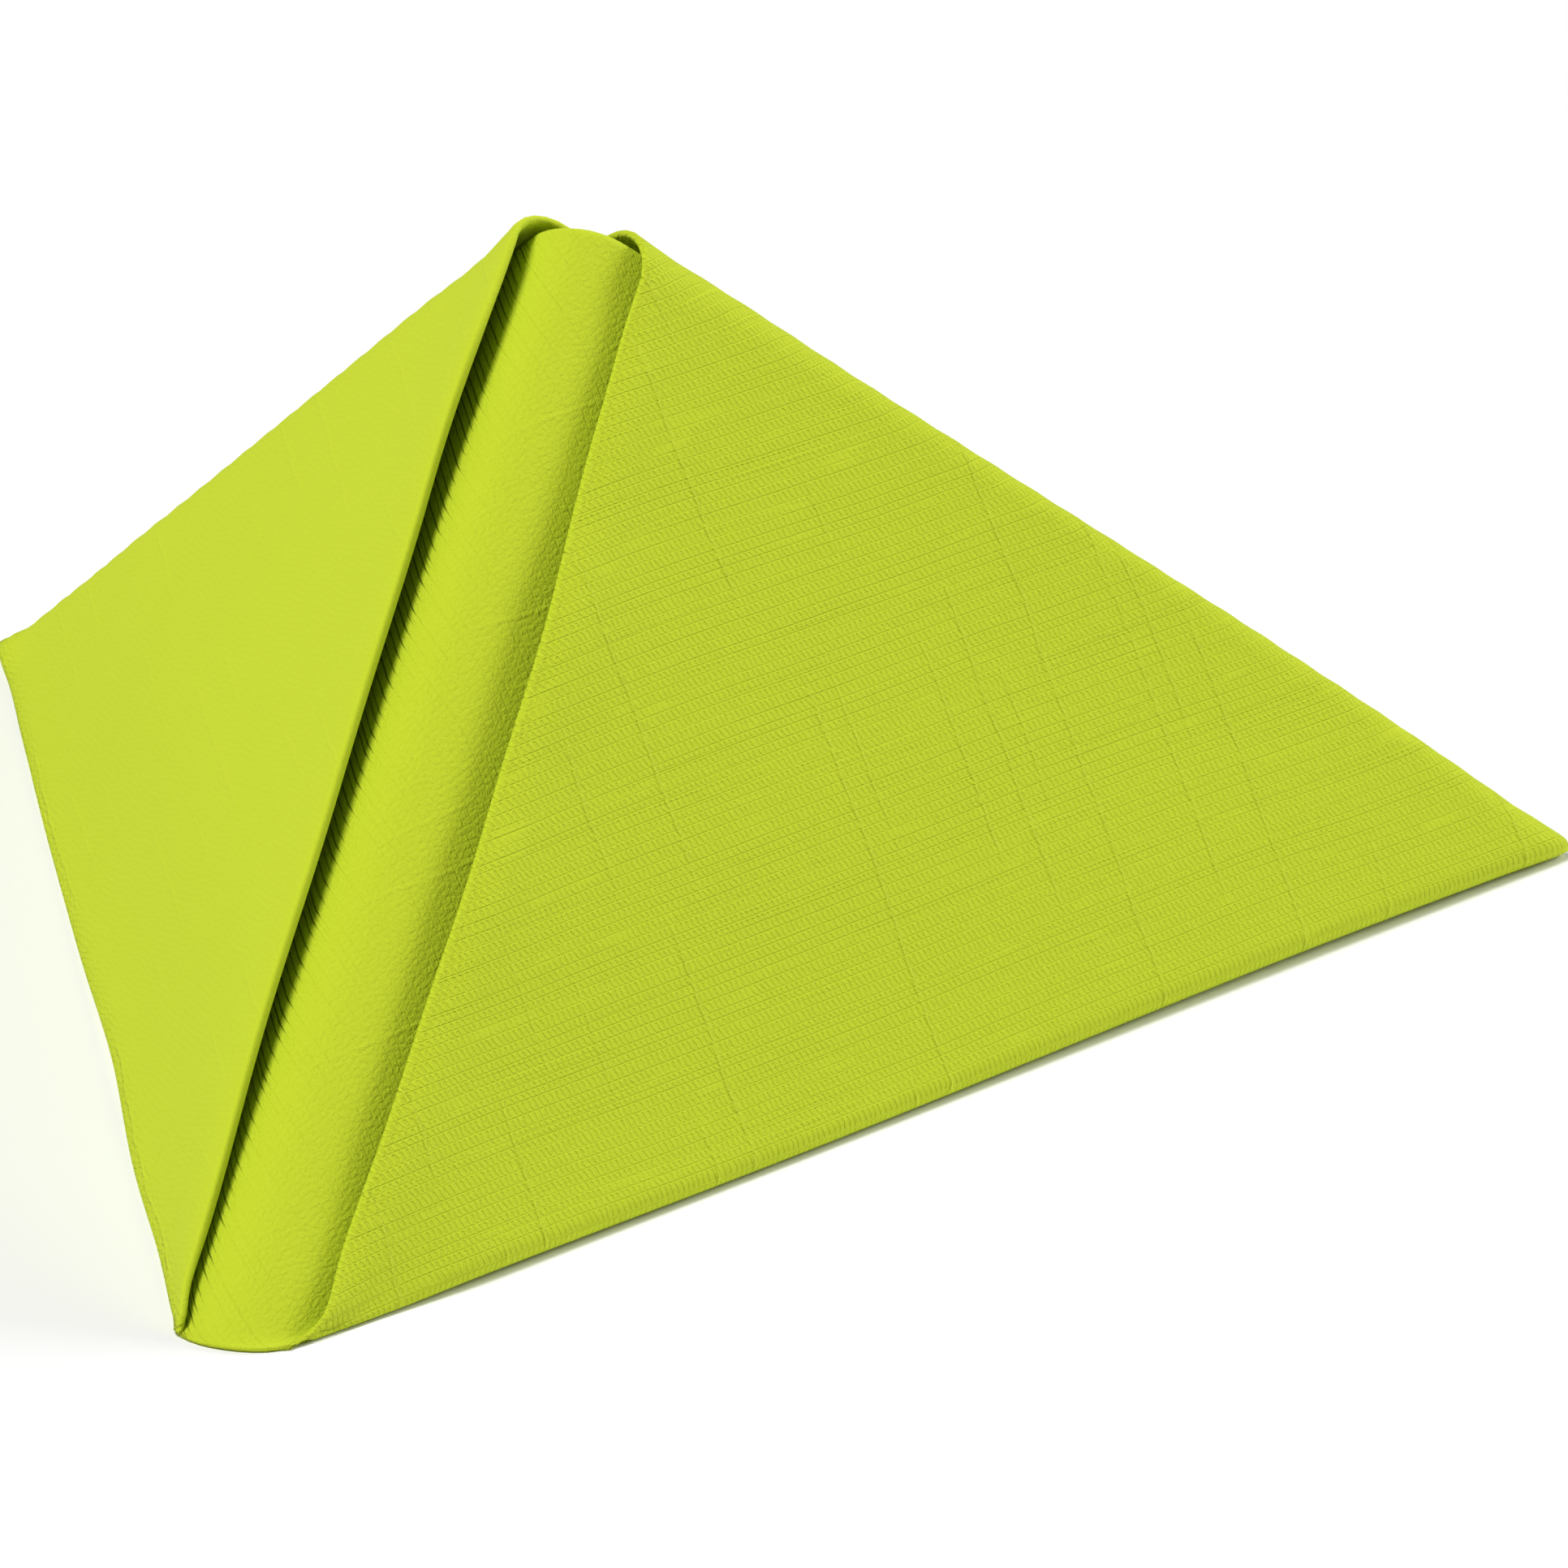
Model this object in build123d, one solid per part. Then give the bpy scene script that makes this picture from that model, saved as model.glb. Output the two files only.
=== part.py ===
from build123d import *
import math
import os

# A square paper napkin folded into a standing pyramid: folded corner to corner,
# both side corners turned up over the front, the whole folded in half to the
# back and bent along its middle, so that it stands on two folded edges.
# The fold is built in the ridge frame (X across, Y along the ridge, Z out of the
# ridge) and then tipped until both base folds lie on the table.

SHEET = 400.0          # side of the opened napkin, mm
PLY = 0.45             # one ply of soft embossed paper
LEG = 0.54 * SHEET     # base edge from the pointed end to a side corner, were every fold sharp
PLAN_HALF_DEG = 26.5   # half the angle between the two base edges, on the table

BODY_W = -1.0          # outer face of the body, below the sharp-fold panel plane
BODY_PLIES = 4         # pressed plies in the body (two outer, two inner)
FLAP_GAP = 2.15        # air between a flap and the body
NOSE_R_TOP = 6.3       # ridge radius at the apex end
NOSE_R_TIP = 9.4       # ridge radius at the pointed end
SEAM_R = 13.3          # right flap's folded edge, from the sharp ridge line
SEAM_L = 9.5           # left flap's folded edge, from the sharp ridge line
BODY_TOP_BACK = 1.5    # the body's top fold lies this far inside the flaps' top fold
CORNER_CUT = 2.0       # raw edge closing each side corner
INNER_CREEP = 8.0      # raw edge of an inner flap, inside the base fold

# Derived sizes
PAIR = 2 * PLY                                  # a flap is two plies
BODY_T = BODY_PLIES * PLY + 0.2                 # pressed body
beta = math.asin(math.sqrt(2) * math.sin(math.radians(PLAN_HALF_DEG)))
sb, cb = math.sin(beta), math.cos(beta)
rise = math.degrees(math.atan(cb))              # slope of the ridge above the table
RIDGE = LEG / math.sqrt(2)                      # sharp ridge length
flap_in = BODY_W + FLAP_GAP                     # flap's inner face
flap_out = flap_in + PAIR
fold_w = BODY_W - BODY_T / 2                    # middle of the body, axis of the top folds
fold_ro = flap_out - fold_w                     # outer radius of a flap's top fold
fold_ri = flap_in - fold_w
fold_y = RIDGE - fold_ro                        # where the top folds begin to turn
crease_w = ((flap_in + flap_out) / 2 + BODY_W - PAIR / 2) / 2
crease_ri = flap_in - crease_w
crease_ro = flap_out - crease_w
crease_in = crease_ro * math.sqrt(2)            # axis of the base fold, inside its outline


def leg_plane():
    """Panel plane of the right half: x away from the ridge, y along it, z outwards."""
    return Plane(origin=(0, 0, 0), x_dir=(sb, 0, -cb), z_dir=(cb, 0, sb))


def prism(points, low, high):
    """A plate in panel coordinates between two heights."""
    face = make_face(Polyline(*points, close=True).edges())
    return Pos(0, 0, low) * extrude(face, high - low, dir=(0, 0, 1))


def flap_set(seam):
    """One folded-up corner: outer flap, base fold, top fold and inner flap."""
    outer = prism(
        [(seam, seam + crease_in), (seam, fold_y), (fold_y - crease_in, fold_y)],
        flap_in, flap_out)
    inner = prism(
        [(seam, seam + INNER_CREEP), (seam, fold_y), (fold_y - INNER_CREEP, fold_y)],
        2 * fold_w - flap_out, 2 * fold_w - flap_in)
    # top fold: half a tube along the upper edge of the panel
    tube = Plane(origin=(seam, fold_y, fold_w), x_dir=(0, 1, 0), z_dir=(1, 0, 0))
    ring = make_face(Circle(fold_ro).edges()) - make_face(Circle(fold_ri).edges())
    ring = ring & (Pos(fold_ro, 0) * Rectangle(2 * fold_ro, 3 * fold_ro))
    top = extrude(tube * ring, RIDGE - seam + 6, dir=(1, 0, 0))
    away = prism([(0, 1.0), (400, 401.0), (400, 0)], -20, 20)
    top -= away
    # base fold: half a tube along the edge that stands on the table
    along = math.sqrt(0.5)
    start = (seam - 4, seam - 4 + crease_in, crease_w)
    base = Plane(origin=start, x_dir=(along, -along, 0), z_dir=(along, along, 0))
    ring = make_face(Circle(crease_ro).edges()) - make_face(Circle(crease_ri).edges())
    ring = ring & (Pos(crease_ro, 0) * Rectangle(2 * crease_ro, 3 * crease_ro))
    end = (2 * RIDGE - CORNER_CUT + crease_in) / 2
    tube = extrude(base * ring, (end - start[1]) / along, dir=(along, along, 0))
    tube -= Pos(seam - 50, 0, 0) * Box(100, 400, 40)
    flap = outer + top + inner + tube
    # the edge beside the ridge is the napkin's own corner-to-corner fold, so it is round
    rim = [e for e in flap.edges()
           if all(abs(v.X - seam) < 1e-4 for v in e.vertices())
           and abs((e @ 0.5).X - seam) < 1e-4 and e.length > PAIR * 1.6]
    return fillet(rim, PAIR / 2 - 0.03)


def section(radius, y):
    """Cross-section of the body at one place along the ridge: a V with a round nose."""
    far = 190.0
    zc = (BODY_W - radius) / sb

    def at(t, w, side):
        return (side * (w * cb + t * sb), w * sb - t * cb)

    def round_path(r, w):
        tip = (0, zc + r)
        foot = [(s * r * cb, zc + r * sb) for s in (-1, 1)]
        return [
            Line(at(far, w, -1), foot[0]),
            ThreePointArc(foot[0], tip, foot[1]),
            Line(foot[1], at(far, w, 1)),
        ]

    out = round_path(radius, BODY_W)
    inn = round_path(radius - BODY_T, BODY_W - BODY_T)
    caps = [
        Line(at(far, BODY_W, -1), at(far, BODY_W - BODY_T, -1)),
        Line(at(far, BODY_W, 1), at(far, BODY_W - BODY_T, 1)),
    ]
    face = make_face([e for c in out + inn + caps for e in c.edges()])
    return Plane(origin=(0, y, 0), x_dir=(1, 0, 0), z_dir=(0, -1, 0)) * face


def nose_radius(y):
    return NOSE_R_TIP + (NOSE_R_TOP - NOSE_R_TIP) * (y - 9.0) / (RIDGE - 9.0)


y_low, y_high = -4.0, RIDGE - BODY_TOP_BACK
body = loft([section(nose_radius(y_low), y_low), section(nose_radius(y_high), y_high)],
            ruled=True)
# the top edge of the body is a fold, so it is rounded
top_edges = body.faces().sort_by(Axis.Y)[-1].outer_wire().edges()
top_edges = [e for e in top_edges if e.length > 5]
body = fillet(top_edges, BODY_T / 2 - 0.08)

right = leg_plane()
for seam, flip in ((SEAM_R, False), (SEAM_L, True)):
    # beyond the base fold the body ends
    end = right * prism(
        [(seam, seam + crease_in), (seam, -80), (400, -80), (400, 400 + crease_in)], -60, 25)
    end += right * prism(
        [(0, 2 * RIDGE - CORNER_CUT), (0, 500), (500, 500), (500, 2 * RIDGE - CORNER_CUT - 500)],
        -60, 25)
    body -= mirror(end, Plane.YZ) if flip else end

napkin = body
for seam, flip in ((SEAM_R, False), (SEAM_L, True)):
    flap = right * flap_set(seam)
    napkin += mirror(flap, Plane.YZ) if flip else flap

# stand it on the table: tip the ridge up and press the base folds flat
napkin = Rot(X=rise) * napkin
napkin -= Pos(0, 0, -50) * Box(600, 800, 100)
solids = napkin.solids()
napkin = max(solids, key=lambda s: s.volume)
box = napkin.bounding_box()
print("box centre before the move", box.center())
napkin = Pos(-box.center().X, -box.center().Y, -box.min.Z) * napkin

os.makedirs("parts", exist_ok=True)
export_step(napkin, "parts/folded_napkin.step")
box = napkin.bounding_box()
print("solids before choice", len(solids), [round(s.volume, 1) for s in solids])
print("valid", napkin.is_valid, "volume", round(napkin.volume, 1))
print("box", box.min, box.max)
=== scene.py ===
"""Folded paper napkin: the sheet that is seen, its embossed paper, the floor, the light and the camera.

The sheet is one square of paper. Each point of the flat square is carried through the folds in the order in which
they are made: corner to corner, both side corners turned up, in half to the back, bent along the middle. Millimetres
are used while folding, and metres in the scene.
"""

import math
import bpy
import numpy as np
from mathutils import Matrix, Vector
from mathutils.geometry import delaunay_2d_cdt


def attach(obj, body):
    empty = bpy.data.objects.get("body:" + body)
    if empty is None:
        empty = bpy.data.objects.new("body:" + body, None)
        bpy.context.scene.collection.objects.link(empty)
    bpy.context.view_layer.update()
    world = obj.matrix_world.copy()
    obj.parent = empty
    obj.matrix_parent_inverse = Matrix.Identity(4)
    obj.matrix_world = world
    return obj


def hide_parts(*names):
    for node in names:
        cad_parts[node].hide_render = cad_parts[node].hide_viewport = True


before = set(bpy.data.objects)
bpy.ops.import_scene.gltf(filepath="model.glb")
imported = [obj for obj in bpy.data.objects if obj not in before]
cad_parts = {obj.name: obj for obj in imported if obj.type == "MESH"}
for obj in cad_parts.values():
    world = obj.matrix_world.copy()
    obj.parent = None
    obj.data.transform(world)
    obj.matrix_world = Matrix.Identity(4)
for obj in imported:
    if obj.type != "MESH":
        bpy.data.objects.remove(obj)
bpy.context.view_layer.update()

# ---------------------------------------------------------------- the fold
HALF = 288.0          # centre to corner of the square
THICK = 0.40          # one ply
PLY_GAP = 0.50        # centre distance of the two plies of the corner-to-corner fold
EDGE_PUFF = 0.50      # and how much more of it there is along a flap's free edge
CREASE_AT = 7.4       # where the base fold starts, from the middle
CREASE_R = 1.70       # centre radius of the base fold, right
CREASE_R_LEFT = 0.60  # and left, where it is pressed tighter
BODY_W = -1.45        # middle of the body's outer pair of plies
FOLD_W = -2.0         # axis of the body's fold over the top
FLAP_FOLD_W = -3.3    # axis of the flaps' looser fold over the top
BODY_TOP, FLAP_TOP = 150.2, 148.65
Y_START = 11.2        # pointed end of the body, along the ridge
NOSE_TIP, NOSE_TOP = 8.95, 5.85
RIDGE = 152.74
Y_SHIFT = 102.428     # from the pointed end to the middle of the object's box

beta = math.asin(math.sqrt(2) * math.sin(math.radians(26.5)))
sb, cb = math.sin(beta), math.cos(beta)
theta = math.pi / 2 - beta
rise = math.atan(cb)
se, ce = math.sin(rise), math.cos(rise)
R2 = math.sqrt(2)


def ease(low, high, v):
    u = np.clip((v - low) / (high - low), 0, 1)
    return u * u * (3 - 2 * u)


def spline(xs, ys):
    """Natural cubic through a few points, level outside them."""
    x, y = np.array(xs, float), np.array(ys, float)
    n = len(x)
    h = np.diff(x)
    a = np.eye(n)
    b = np.zeros(n)
    for i in range(1, n - 1):
        a[i, i - 1:i + 2] = h[i - 1], 2 * (h[i - 1] + h[i]), h[i]
        b[i] = 6 * ((y[i + 1] - y[i]) / h[i] - (y[i] - y[i - 1]) / h[i - 1])
    m = np.linalg.solve(a, b)

    def at(v):
        v = np.clip(v, x[0], x[-1])
        i = np.clip(np.searchsorted(x, v) - 1, 0, n - 2)
        l, r = x[i + 1] - v, v - x[i]
        return ((m[i] * l ** 3 + m[i + 1] * r ** 3) / (6 * h[i])
                + (y[i] / h[i] - m[i] * h[i] / 6) * l + (y[i + 1] / h[i] - m[i + 1] * h[i] / 6) * r)

    return at


# Nothing here is folded with a ruler. Along the ridge: how far each flap's edge lies from it beyond the plain fold,
# and how far the edge stands off the body.
seam_right = spline([10, 12, 15, 18, 22, 45, 80, 115, 140, 153, 175], [-3.6, -1.2, 0.6, 1.1, 1.25, 1.75, 2.4, 2.1, 1.4, 1.1, 0.65])
seam_left = spline([10, 14, 22, 45, 80, 112, 125, 140, 153, 175], [-2.2, -1.5, -1.6, -2.7, -3.1, -2.4, -2.9, -4.3, -4.5, -4.2])
off_right = spline([10, 30, 60, 100, 140, 175], [0.9, 1.5, 2.1, 2.1, 1.2, 1.0])
off_left = spline([10, 18, 30, 60, 100, 120, 140, 175], [0.0, 0.5, 1.15, 2.15, 2.25, 2.3, 1.5, 1.0])
# Along the top: how far the fold over the top bulges.
top_right = spline([8, 20, 35, 50, 65, 80, 94, 112, 122, 131, 141, 150], [0.3, 0.9, 1.25, 1.7, 2.1, 2.5, 2.8, 2.8, 2.45, 1.95, 1.35, 0.75])
top_left = spline([8, 17, 28, 40, 80, 110, 122, 130, 137, 150], [-0.65, -0.95, -0.3, -0.05, 0.1, 0.75, 1.75, 2.6, 3.1, 3.35])
# Along the base: how far the base fold strays from a straight line.
base_right = spline([12, 40, 62, 90, 120, 150], [0.0, 0.1, 0.35, -0.2, -0.85, -0.4])
base_left = spline([12, 21, 41, 61, 81, 95, 115, 135, 150], [-0.3, -1.0, -0.1, -1.7, -0.6, 0.0, 0.5, 0.15, 0.0])


def nose_radius(y):
    return NOSE_TIP + (NOSE_TOP - NOSE_TIP) * (np.clip(y, 0, RIDGE) - 9.0) / (RIDGE - 9.0)


C_FAR = 1.784 + 0.342 * NOSE_TIP


def folded(p, q):
    """Where a point of the flat square lies on the standing napkin, for arrays p, q."""
    left = p < 0

    def by_side(a, b):
        return np.where(left, a, b)

    # corner to corner: q < 0 is the front ply
    a = np.abs(q)
    side = np.where(q < 0, 1.0, -1.0)
    x1 = np.abs(p)
    puff = EDGE_PUFF / 2 * ease(10, 24, x1) * (1 - ease(120, 138, x1))
    r0 = PLY_GAP / 2 + puff
    quarter = math.pi * r0 / 2
    ang = np.minimum(a, quarter) / r0
    square = np.where(left, 2 / 3.2, 1.0)       # the left one is pressed squarer, its outer ply flat
    fade = np.exp(-(np.clip(a - quarter, 0, None) / 4.0) ** 2)
    y1 = np.where(a < quarter, -r0 * np.clip(np.cos(ang), 0, 1) ** square, a - quarter)
    w1 = side * np.where(a < quarter, r0 * np.clip(np.sin(ang), 0, 1) ** square, r0 - puff * (1 - fade))
    w1 = w1 + np.where(left, puff, 0.0) * fade
    y1 = y1 + np.where(left, 0.70, 0.0) * np.clip(w1 + PLY_GAP / 2, 0, None) * fade * puff / (EDGE_PUFF / 2)
    # the side corners, turned up over the front
    at = by_side(CREASE_AT - 0.65, CREASE_AT + 0.12)
    tau = (x1 - at - y1) / R2
    run = (x1 - at + y1) / R2
    cr = by_side(CREASE_R_LEFT, CREASE_R * (0.32 + 0.68 * ease(0, 26, run)))   # tightest at the pointed end
    half = math.pi * cr / 2
    phi = np.clip((tau + half) / cr, 0, math.pi)
    m = np.where(tau < -half, tau + half, np.where(tau < half, (cr - w1) * np.sin(phi), half - tau))
    h = np.where(tau < -half, w1, np.where(tau < half, cr - (cr - w1) * np.cos(phi), 2 * cr - w1))
    flap = ease(0, math.pi, phi)
    x2 = at + (run + m - half) / R2
    y2 = (run - m + half) / R2
    w = BODY_W + h
    yu = y2 + Y_START
    # the flap between its base fold and its free edge by the ridge
    across = np.clip(x2 - at, 0, None)
    near = np.clip(1 - across / np.maximum(y2 + 1.0, 1.0), 0, 1)
    shift = by_side(seam_left(yu), seam_right(yu)) * near ** 1.5 * flap
    edge = np.exp(-(across / 14.0) ** 2)
    wave = by_side(0.10 * np.sin(yu / 6.6 + 0.7), 0.16 * np.sin(yu / 5.1 + 0.4) + 0.10 * np.sin(yu / 8.7 + 2.0))
    stand = by_side(off_left(yu), off_right(yu)) - (BODY_W + 2 * cr)
    w = w + stand * ease(0, 1, (tau - half) / np.clip(0.6 * y2, 2.5, 32)) + wave * edge * ease(14, 30, yu) * (1 - ease(130, 150, yu)) * flap
    # its free edge is a soft roll that droops towards the body
    roll = by_side(2.2, 3.6)
    w = w - by_side(0.12, 0.95) * np.clip(1 - across / roll, 0, None) ** 2 * ease(12, 24, yu) * (1 - ease(138, 152, yu)) * flap
    # by the top the left edge stands further off
    w = w + by_side(0.8, 0.0) * np.exp(-(across / 9.0) ** 2) * ease(108, 140, yu) * flap
    # the pointed end reaches down to the table
    place = np.clip(x1 + by_side(0.5, 1.0) * (x2 + shift - x1) * flap, 0, None)
    yu = yu - 2.6 * np.clip(1 - (place / 8.2) ** 4, 0, None) * np.exp(-np.clip(y2, 0, None) / 15.0) * (1 - flap * ease(0, 5, y2))
    # in half to the back, over the top
    open_end = np.exp(-(across / 30.0) ** 2) * flap
    axis = FOLD_W + (by_side(FLAP_FOLD_W, FLAP_FOLD_W - 2.3) - FOLD_W) * open_end
    yb = BODY_TOP + (FLAP_TOP - BODY_TOP) * flap
    yb = yb + by_side(top_left(x2), top_right(x2)) * flap + by_side(0.10, 0.05) * np.cos(x2 * 2 * math.pi / 5.9) * flap
    yb = yb + by_side(0.5, 0.55) * np.exp(-(across / 3.5) ** 2) * flap - by_side(0.0, 1.4) * open_end
    yb = yb - by_side(0.85, 0.0) * np.exp(-(across / 9.5) ** 2) * flap
    yb = yb + 0.8 * ease(-3, 9, p) * (1 - flap)
    rt = w - axis
    s = yu - yb
    turn = np.clip(s / rt, 0, math.pi)
    y3 = np.where(s <= 0, yu, np.where(turn < math.pi, yb + rt * np.sin(turn), yb - (s - math.pi * rt)))
    w3 = np.where(s <= 0, w, axis + rt * np.cos(turn))
    # inside, the raw edges end a little above the base folds
    y3 = y3 + 5.0 * ease(0, 34, s - math.pi * rt)
    shift = shift + (2.4 * ease(2.1, math.pi, turn) + by_side(2.2, -1.2) * np.sin(turn)) * near * flap
    # the corner that comes down inside the pointed end is tucked up under it
    inner = (s > math.pi * rt) & (flap < 0.5)
    tr = np.where(inner, w3 + 3.5, 1.0)
    s = np.where(inner, 15.0 - y3, -1.0)
    turn = np.clip(s / tr, 0, math.pi)
    y3 = np.where(s <= 0, y3, np.where(turn < math.pi, 15.0 - tr * np.sin(turn), 15.0 + (s - math.pi * tr)))
    w3 = np.where(s <= 0, w3, -3.5 + tr * np.cos(turn))
    # bent along the middle: a round nose and two flat legs
    rm = nose_radius(y3)
    ct = 1.784 + 0.342 * rm
    ct = ct + (C_FAR - ct) * ease(10, 50, x2)
    stray = by_side(base_left(yu), base_right(yu)) * np.clip(x2 / np.maximum(y2 + at, 5.0), 0, 1) ** 3
    # the two outer corners end in a small round bulge
    nub = np.exp(-(((x2 - 146.0) / 4.5) ** 2 + ((y3 - 149.5) / 5.5) ** 2))
    y3 = y3 + 0.9 * nub
    stray = stray + by_side(0.0, 1.2) * nub
    w3 = axis + (w3 - axis) * (1 + by_side(0.55, 0.0) * nub)
    t = x2 + ct + shift + stray
    xl, nl = w3 * cb + t * sb, w3 * sb - t * cb
    nc = -(rm - BODY_W) / sb
    rad = rm + (w3 - BODY_W)
    turn = x2 / rm
    on_nose = turn < theta
    tb = x2 + ct + stray
    xn = np.where(on_nose, rad * np.sin(turn), w3 * cb + tb * sb)
    nn = np.where(on_nose, nc + rad * np.cos(turn), w3 * sb - tb * cb)
    x4 = xn + (xl - xn) * flap
    n4 = nn + (nl - nn) * flap
    # stand it on the table
    X = by_side(-x4, x4)
    Y = ce * y3 - se * n4 - Y_SHIFT
    Z = se * y3 + ce * n4
    k, z0 = 0.30, THICK / 2
    Z = z0 + k * np.logaddexp(0, (Z - z0) / k)
    return np.stack([X, Y, Z], axis=-1)


def flat_quarter():
    """Points and triangles of one quarter of the flat square: close rows along every fold, wider ones elsewhere."""
    half = math.pi * CREASE_R / 2
    pts = []
    cell = {}

    def add(x, y, gap):
        if x < 0 or y < 0 or x + y > HALF + 1e-9:
            return
        i, j = int(x // 2), int(y // 2)
        for ii in range(i - 2, i + 3):
            for jj in range(j - 2, j + 3):
                for k in cell.get((ii, jj), ()):
                    if (pts[k][0] - x) ** 2 + (pts[k][1] - y) ** 2 < gap * gap:
                        return
        cell.setdefault((i, j), []).append(len(pts))
        pts.append((x, y))

    quarter = math.pi * PLY_GAP / 4
    rows_seam = [0, quarter / 3, quarter * 2 / 3, quarter, 0.53, 0.66, 0.8, 1.1, 1.6, 2.6, 4.2, 6.4, 9.2]
    rows_crease = [half * k / 6 for k in range(-6, 7)] + [-half - 0.7, half + 0.7, -half - 2.0, half + 2.0]
    rows_body = [138.4, 139.1, 139.45, 139.8, 140.15, 140.5, 140.85, 141.2, 141.6, 142.1, 143.0]
    rows_flap = [143.4 + k for k in range(16)]
    columns = [0, 1.0, 2.0, 3.0, 4.0, 5.0, 6.0, 7.0, 8.0, 9.5, 11.5]

    def in_crease(x, y):
        return abs((x - CREASE_AT - y + quarter) / R2) < half + 2.0

    # raw edge and the two axes
    n = 110
    for k in range(n + 1):
        add(HALF * k / n, HALF - HALF * k / n, 0.05)
    for k in range(int(HALF / 1.5) + 1):
        add(k * 1.5, 0.0, 0.3)
    for k in range(int(HALF / 2.4) + 1):
        add(0.0, k * 2.4, 0.3)
    # corner-to-corner fold
    for y in rows_seam[1:]:
        for k in range(int(HALF / 1.5) + 1):
            if y > 1.0 and in_crease(k * 1.5, y):
                continue
            add(k * 1.5, y, 0.10)
    # base fold
    for tau in rows_crease:
        for k in range(0, int(HALF / 2.0)):
            run = k * 2.0 - 6
            x = CREASE_AT + (run + tau) / R2
            y = quarter + (run - tau) / R2
            if y > 0.9:
                add(x, y, 0.30)
    # top folds
    for y in rows_body:
        for x in columns + [13.5 + 2.4 * k for k in range(60)]:
            if x - CREASE_AT - y < -(half + 2.0) * R2:
                add(x, y, 0.25)
    for x in rows_flap:
        for k in range(100):
            y = 10.2 + 1.5 * k
            if x - CREASE_AT - y > (half + 2.0) * R2:
                add(x, y, 0.3)
    # the nose
    for x in columns[1:]:
        for k in range(int(HALF / 2.4) + 1):
            y = k * 2.4
            if not in_crease(x, y) and not 137.6 < y < 143.8 and y > 9.8:
                add(x, y, 0.6)
    # the rest
    step = 3.6
    for i in range(int(HALF / step) + 1):
        for j in range(int(HALF / step) + 1):
            x, y = step * (i + 0.5 * (j % 2)), step * j
            add(x, y, 2.3)
    verts = [Vector(v) for v in pts]
    rim = [k for k, v in enumerate(pts) if v[0] + v[1] > HALF - 1e-6]
    rim.sort(key=lambda k: pts[k][0])
    low = sorted((k for k, v in enumerate(pts) if v[1] == 0), key=lambda k: -pts[k][0])
    tall = sorted((k for k, v in enumerate(pts) if v[0] == 0), key=lambda k: pts[k][1])
    loop = rim[:-1] + low[:-1] + tall[:-1]
    edges = [(loop[k], loop[(k + 1) % len(loop)]) for k in range(len(loop))]
    co, _, faces, orig, _, _ = delaunay_2d_cdt(verts, edges, [], 1, 1e-5)
    co = np.array([(v[0], v[1]) for v in co])
    tri = []
    for f in faces:
        a, b, c = f
        area = ((co[b][0] - co[a][0]) * (co[c][1] - co[a][1]) - (co[b][1] - co[a][1]) * (co[c][0] - co[a][0])) / 2
        if abs(area) < 1e-5:
            continue
        tri.append((a, b, c) if area > 0 else (a, c, b))
    return co, np.array(tri)


def sheet_mesh():
    co, tri = flat_quarter()
    keys, flat, faces = {}, [], []
    for sx, sy in ((1, 1), (-1, 1), (-1, -1), (1, -1)):
        index = np.empty(len(co), int)
        for k, (x, y) in enumerate(co):
            key = (round(sx * x, 4) + 0.0, round(sy * y, 4) + 0.0)
            if key not in keys:
                keys[key] = len(flat)
                flat.append((sx * x, sy * y))
            index[k] = keys[key]
        t = index[tri]
        faces.append(t if sx * sy > 0 else t[:, ::-1])
    flat = np.array(flat)
    faces = np.concatenate(faces)
    p, q = flat[:, 0], flat[:, 1]
    mid = folded(p, q)
    e = 0.02

    def held(u, v):
        """A point just off the square's edge is taken at the edge."""
        over = np.maximum((np.abs(u) + np.abs(v)) / HALF, 1.0)
        return u / over, v / over

    dp = folded(*held(p + e, q)) - folded(*held(p - e, q))
    dq = folded(*held(p, q + e)) - folded(*held(p, q - e))
    nrm = np.cross(dp, dq)
    nrm /= np.maximum(np.linalg.norm(nrm, axis=1, keepdims=True), 1e-12)
    return flat, faces, mid, nrm


flat, faces, mid, nrm = sheet_mesh()
count = len(flat)
co = np.concatenate([mid + nrm * THICK / 2, mid - nrm * THICK / 2]) / 1000.0
co[:, 2] = np.maximum(co[:, 2], 0.0)
# raw edge: each border edge becomes a narrow strip
seen = {}
for f in faces:
    for k in range(3):
        a, b = int(f[k]), int(f[(k + 1) % 3])
        seen[(a, b)] = True
border = [(a, b) for a, b in seen if (b, a) not in seen]
polys = [tuple(int(v) for v in f) for f in faces]
polys += [tuple(int(v) + count for v in f[::-1]) for f in faces]
polys += [(b, a, a + count, b + count) for a, b in border]
mesh = bpy.data.meshes.new("napkin_sheet")
mesh.from_pydata([tuple(v) for v in co], [], polys)
mesh.validate()
mesh.update()
print("sheet:", count, "points,", len(faces), "triangles a side,", len(border), "border edges, polygons", len(mesh.polygons))
napkin = bpy.data.objects.new("napkin_sheet", mesh)
bpy.context.scene.collection.objects.link(napkin)

# smooth all over, with a crisp raw edge
mesh.polygons.foreach_set("use_smooth", [True] * len(mesh.polygons))
rim_set = {frozenset(e) for e in border} | {frozenset((a + count, b + count)) for a, b in border}
for e in mesh.edges:
    if frozenset(e.vertices) in rim_set:
        e.use_edge_sharp = True

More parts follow.
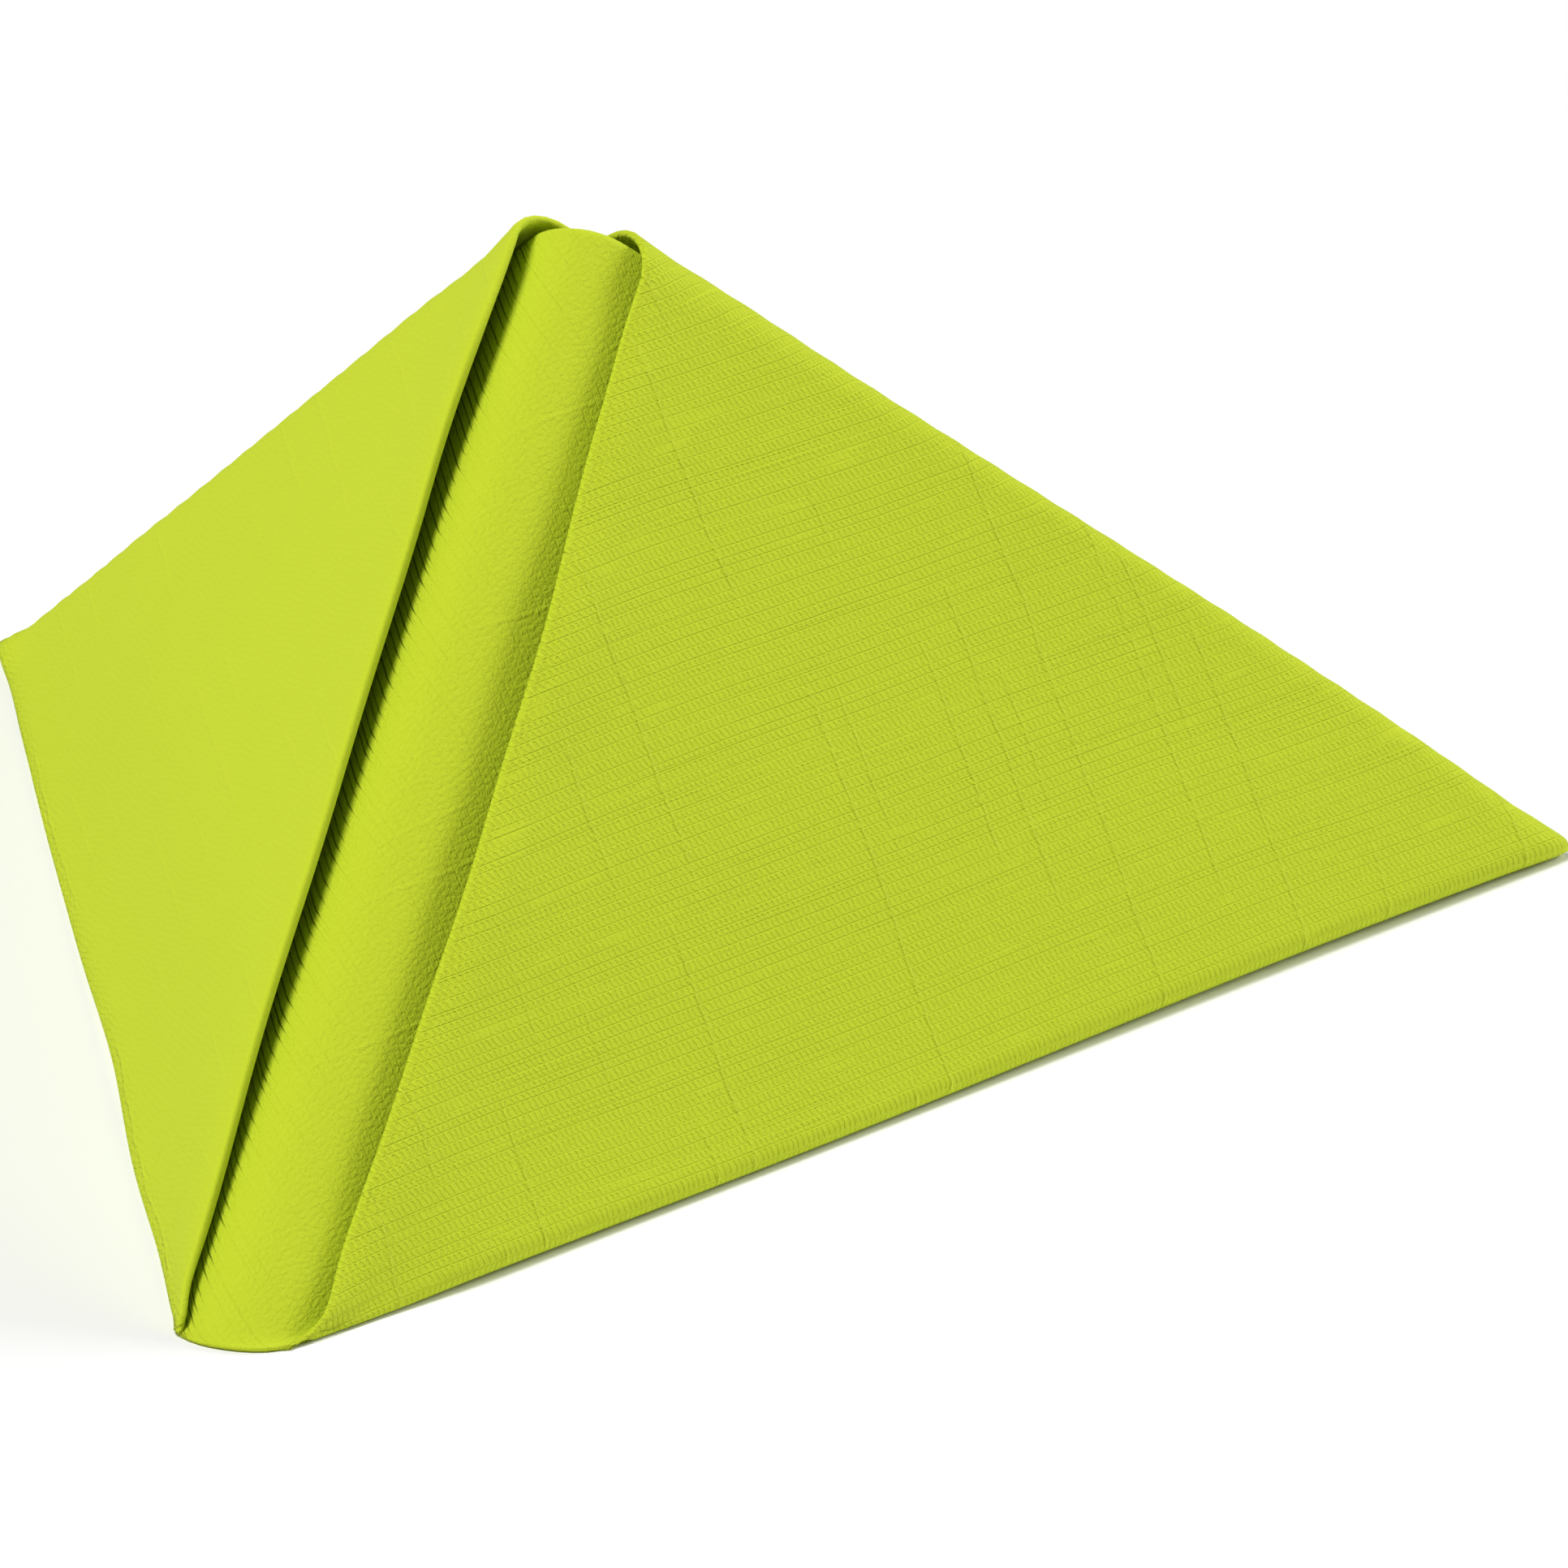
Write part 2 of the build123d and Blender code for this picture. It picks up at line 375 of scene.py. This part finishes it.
# pattern coordinates run along the square's own sides, in units of its side
p_all = np.concatenate([flat[:, 0], flat[:, 0]])
q_all = np.concatenate([flat[:, 1], flat[:, 1]])
side_len = HALF * R2
s1 = (p_all + q_all) / R2 / side_len + 0.5
s2 = (p_all - q_all) / R2 / side_len + 0.5
uv_flat = mesh.uv_layers.new(name="flat")
uv_bake = mesh.uv_layers.new(name="OFBake")
loops = np.empty(len(mesh.loops), int)
mesh.loops.foreach_get("vertex_index", loops)
uv = np.stack([s1[loops], s2[loops]], axis=1)
uv_flat.data.foreach_set("uv", uv.ravel())
back = np.empty(len(loops), bool)
rim_loop = np.zeros(len(loops), bool)
for poly in mesh.polygons:
    sl = slice(poly.loop_start, poly.loop_start + poly.loop_total)
    if poly.loop_total == 4:
        rim_loop[sl] = True
        back[sl] = False
    else:
        back[sl] = poly.vertices[0] >= count
bu = 0.006 + uv[:, 0] * 0.484
bv = 0.012 + uv[:, 1] * 0.976
bu = np.where(back, bu + 0.502, bu)
# the raw edge's strips lie just outside the front's square
out = rim_loop & (loops >= count)
cu, cv = uv[:, 0] - 0.5, uv[:, 1] - 0.5
far = np.maximum(np.abs(cu), np.abs(cv))
bu = np.where(out, 0.248 + (cu / far * 0.5) * 0.484 * 1.008, bu)
bv = np.where(out, 0.5 + (cv / far * 0.5) * 0.976 * 1.008, bv)
uv_bake.data.foreach_set("uv", np.stack([bu, bv], axis=1).ravel())
mesh.uv_layers.active = uv_flat
uv_flat.active_render = True

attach(napkin, "root")
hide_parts("folded_napkin")

# ---------------------------------------------------------------- paper
paper = bpy.data.materials.new("lime_paper_embossed")
paper.use_nodes = True
tree = paper.node_tree
bsdf = tree.nodes["Principled BSDF"]


def put(n, key, value):
    if isinstance(value, bpy.types.NodeSocket):
        tree.links.new(value, n.inputs[key])
    else:
        n.inputs[key].default_value = value


def math_node(op, a, b=None, c=None, clamp=False):
    n = tree.nodes.new("ShaderNodeMath")
    n.operation = op
    n.use_clamp = clamp
    for k, v in enumerate((a, b, c)):
        if v is not None:
            put(n, k, v)
    return n.outputs[0]


def add(*v):
    out = v[0]
    for k in v[1:]:
        out = math_node("ADD", out, k)
    return out


def mul(*v):
    out = v[0]
    for k in v[1:]:
        out = math_node("MULTIPLY", out, k)
    return out


def step(low, high, v):
    """Smooth step from 0 at low to 1 at high."""
    n = tree.nodes.new("ShaderNodeMapRange")
    n.interpolation_type = "SMOOTHSTEP"
    put(n, "Value", v)
    put(n, "From Min", low)
    put(n, "From Max", high)
    return n.outputs["Result"]


def noise(x, y, scale_x, scale_y, detail=1.0, shift=0.0):
    """Soft noise from 0 to 1, stretched along either side of the sheet; x and y in mm."""
    v = tree.nodes.new("ShaderNodeCombineXYZ")
    put(v, 0, mul(x, 1.0 / scale_x))
    put(v, 1, mul(y, 1.0 / scale_y))
    v.inputs[2].default_value = shift
    n = tree.nodes.new("ShaderNodeTexNoise")
    n.inputs["Scale"].default_value = 1.0
    n.inputs["Detail"].default_value = detail
    tree.links.new(v.outputs[0], n.inputs["Vector"])
    return n.outputs["Fac"]


def cells(w, feature, jitter):
    n = tree.nodes.new("ShaderNodeTexVoronoi")
    n.voronoi_dimensions = "1D"
    n.feature = feature
    n.inputs["Scale"].default_value = 1.0
    n.inputs["Randomness"].default_value = jitter
    put(n, "W", w)
    return n


uv_node = tree.nodes.new("ShaderNodeUVMap")
uv_node.uv_map = "flat"
split = tree.nodes.new("ShaderNodeSeparateXYZ")
tree.links.new(uv_node.outputs[0], split.inputs[0])
along = mul(split.outputs[0], side_len)      # mm along the weft
across = mul(split.outputs[1], side_len)     # mm across it

# the weft runs a little crooked
sway = mul(add(noise(along, across, 40, 60, 1.0, 3.1), -0.5), 1.2)
weft = add(across, sway)
# thin grooves between the weft rows, at uneven distances, some deep and some hardly there
row = mul(weft, 1 / 1.15)
edge_dist = cells(row, "DISTANCE_TO_EDGE", 0.8).outputs["Distance"]
deep = step(0.34, 0.66, noise(along, across, 46, 1.25, 1.0, 7.7))
groove = mul(add(1.0, mul(step(0.01, 0.15, edge_dist), -1.0)), add(0.55, mul(deep, 0.45)))
fine_dist = cells(mul(weft, 1 / 0.62), "DISTANCE_TO_EDGE", 0.9).outputs["Distance"]
fine_on = step(0.50, 0.72, noise(along, across, 30, 2.0, 1.0, 1.9))
fine = mul(add(1.0, mul(step(0.0, 0.2, fine_dist), -1.0)), fine_on)
# rows of small slanted loops between the grooves
centre = cells(row, "F1", 0.8)
lean = add(mul(along, 2 * math.pi / 0.80), mul(weft, 1.9), mul(centre.outputs["W"], 37.0),
           mul(noise(along, across, 2.6, 1.2, 1.0, 5.0), 5.0))
loop_wave = step(-0.1, 0.9, math_node("SINE", lean))
inside = step(0.05, 0.24, edge_dist)
loop_on = step(0.16, 0.42, noise(along, across, 11, 2.4, 1.0, 11.0))
loops_h = mul(loop_wave, inside, loop_on)
# slubs: short raised threads across the weft
slub_dist = cells(mul(add(along, mul(add(noise(along, across, 20, 14, 1.0, 2.2), -0.5), 1.8)), 1 / 6.0),
                  "DISTANCE_TO_EDGE", 1.0).outputs["Distance"]
slub_on = step(0.51, 0.60, noise(along, across, 7.5, 44, 0.0, 23.0))
slub = mul(add(1.0, mul(step(0.0, 0.075, slub_dist), -1.0)), slub_on)
# felted grain of the paper
grain = noise(along, across, 0.30, 0.26, 2.0, 0.4)
lumps = noise(along, across, 0.62, 0.55, 1.0, 9.1)
p_mm = mul(add(split.outputs[0], split.outputs[1], -1.0), side_len / R2)
q_mm = mul(add(split.outputs[0], mul(split.outputs[1], -1.0)), side_len / R2)
q_abs = math_node("ABSOLUTE", q_mm)
# the left corner has been pressed nearly smooth, and on the body the loops are fainter
pressed = step(6.0, 12.0, add(mul(p_mm, -1.0), mul(q_abs, -1.0)))
body = add(1.0, mul(step(4.0, 9.0, add(math_node("ABSOLUTE", p_mm), mul(q_abs, -1.0))), -1.0))
# where the body runs in under the left flap, in the flap's shadow, the rows stand out again: deeper relief, and much
# more painted shade in the grooves
shaded_gap = mul(body, step(4.2, 6.6, mul(p_mm, -1.0)))
faint = add(1.0, mul(body, -0.58), mul(shaded_gap, 3.2))
bare = add(1.0, mul(body, -0.8))
relief = add(mul(groove, -0.098, faint), mul(fine, -0.042, faint), mul(slub, 0.190, bare), mul(grain, 0.095),
             mul(loops_h, -0.110, bare), mul(lumps, add(0.030, mul(body, 0.075))))
height = mul(relief, add(1.0, mul(pressed, -0.77)))
bump = tree.nodes.new("ShaderNodeBump")
bump.inputs["Strength"].default_value = 1.0
bump.inputs["Distance"].default_value = 1.0
put(bump, "Height", mul(height, 0.001))
tree.links.new(bump.outputs[0], bsdf.inputs["Normal"])
# colour: painted shade darkens the dents (grooves, fine lines and loops), the slubs are a shade paler, the grain
# varies the tone, and the dye is slightly cloudy
# in the shaded gap under the left flap the grooves carry several times more painted shade
dent_shade_slub_and_grain = add(mul(groove, -0.34, faint, add(1.0, mul(shaded_gap, 2.0))), mul(fine, -0.18, faint), mul(loops_h, -0.28, bare),
            mul(slub, 0.35, bare), mul(add(grain, -0.5), 0.5))
tone = add(0.58, mul(dent_shade_slub_and_grain, add(1.0, mul(pressed, -0.7))),
           mul(add(noise(along, across, 26, 19, 3.0, 31.0), -0.5), 0.2))
mix = tree.nodes.new("ShaderNodeMix")
mix.data_type = "RGBA"
mix.clamp_factor = False
put(mix, 0, tone)
mix.inputs[6].default_value = (0.525, 0.640, 0.021, 1)
mix.inputs[7].default_value = (0.608, 0.722, 0.031, 1)
tree.links.new(mix.outputs[2], bsdf.inputs["Base Color"])
bsdf.inputs["Roughness"].default_value = 0.90
bsdf.inputs["Specular IOR Level"].default_value = 0.20
mesh.materials.append(paper)

# ---------------------------------------------------------------- floor
floor_mesh = bpy.data.meshes.new("floor")
floor_mesh.from_pydata([(-4, -4, 0), (4, -4, 0), (4, 4, 0), (-4, 4, 0)], [], [(0, 1, 2, 3)])
floor = bpy.data.objects.new("floor", floor_mesh)
floor.location.z = -0.0002
bpy.context.scene.collection.objects.link(floor)
pale = bpy.data.materials.new("pale_floor")
pale.use_nodes = True
pale.node_tree.nodes["Principled BSDF"].inputs["Base Color"].default_value = (0.95, 0.95, 0.95, 1)
pale.node_tree.nodes["Principled BSDF"].inputs["Roughness"].default_value = 0.9
floor_mesh.materials.append(pale)

# ---------------------------------------------------------------- light
world = bpy.data.worlds.new("soft_room")
bpy.context.scene.world = world
world.use_nodes = True
world.node_tree.nodes["Background"].inputs["Color"].default_value = (1, 1, 1, 1)
world.node_tree.nodes["Background"].inputs["Strength"].default_value = 0.15


def area(name, place, aim, size, power):
    data = bpy.data.lights.new(name, "AREA")
    data.shape = "DISK"
    data.size = size
    data.energy = power
    lamp = bpy.data.objects.new(name, data)
    lamp.location = place
    lamp.rotation_euler = (Vector(aim) - Vector(place)).to_track_quat("-Z", "Y").to_euler()
    bpy.context.scene.collection.objects.link(lamp)


area("key", (-1.058, -1.352, 3.617), (0, 0, 0.03), 1.7, 139.0)
area("fill", (2.64, 2.72, 1.34), (0, 0, 0.03), 2.0, 101.0)

# ---------------------------------------------------------------- camera
AZ, EL = math.radians(19.14), math.radians(21.58)
FOCAL_PX, FRAME_PX = 17814.0, 1932
back_dir = Vector((math.sin(AZ) * math.cos(EL), -math.cos(AZ) * math.cos(EL), math.sin(EL)))
right_dir = Vector((math.cos(AZ), math.sin(AZ), 0))
up_dir = back_dir.cross(right_dir)
aim = Vector((0, 0.126792 - Y_SHIFT / 1000, 0.023436))
eye = aim + back_dir * 1.62
look = (-back_dir + right_dir * ((966 - 719.2) / FOCAL_PX) - up_dir * ((966 - 939.0) / FOCAL_PX)).normalized()
side_dir = look.cross(up_dir).normalized()
up_now = side_dir.cross(look)
data = bpy.data.cameras.new("camera")
data.sensor_width = 36.0
data.lens = FOCAL_PX / FRAME_PX * 36.0
data.clip_end = 50.0
camera = bpy.data.objects.new("camera", data)
camera.matrix_world = Matrix((
    (side_dir.x, up_now.x, -look.x, eye.x),
    (side_dir.y, up_now.y, -look.y, eye.y),
    (side_dir.z, up_now.z, -look.z, eye.z),
    (0, 0, 0, 1)))
bpy.context.scene.collection.objects.link(camera)
bpy.context.scene.camera = camera
bpy.context.scene.view_settings.view_transform = "Standard"
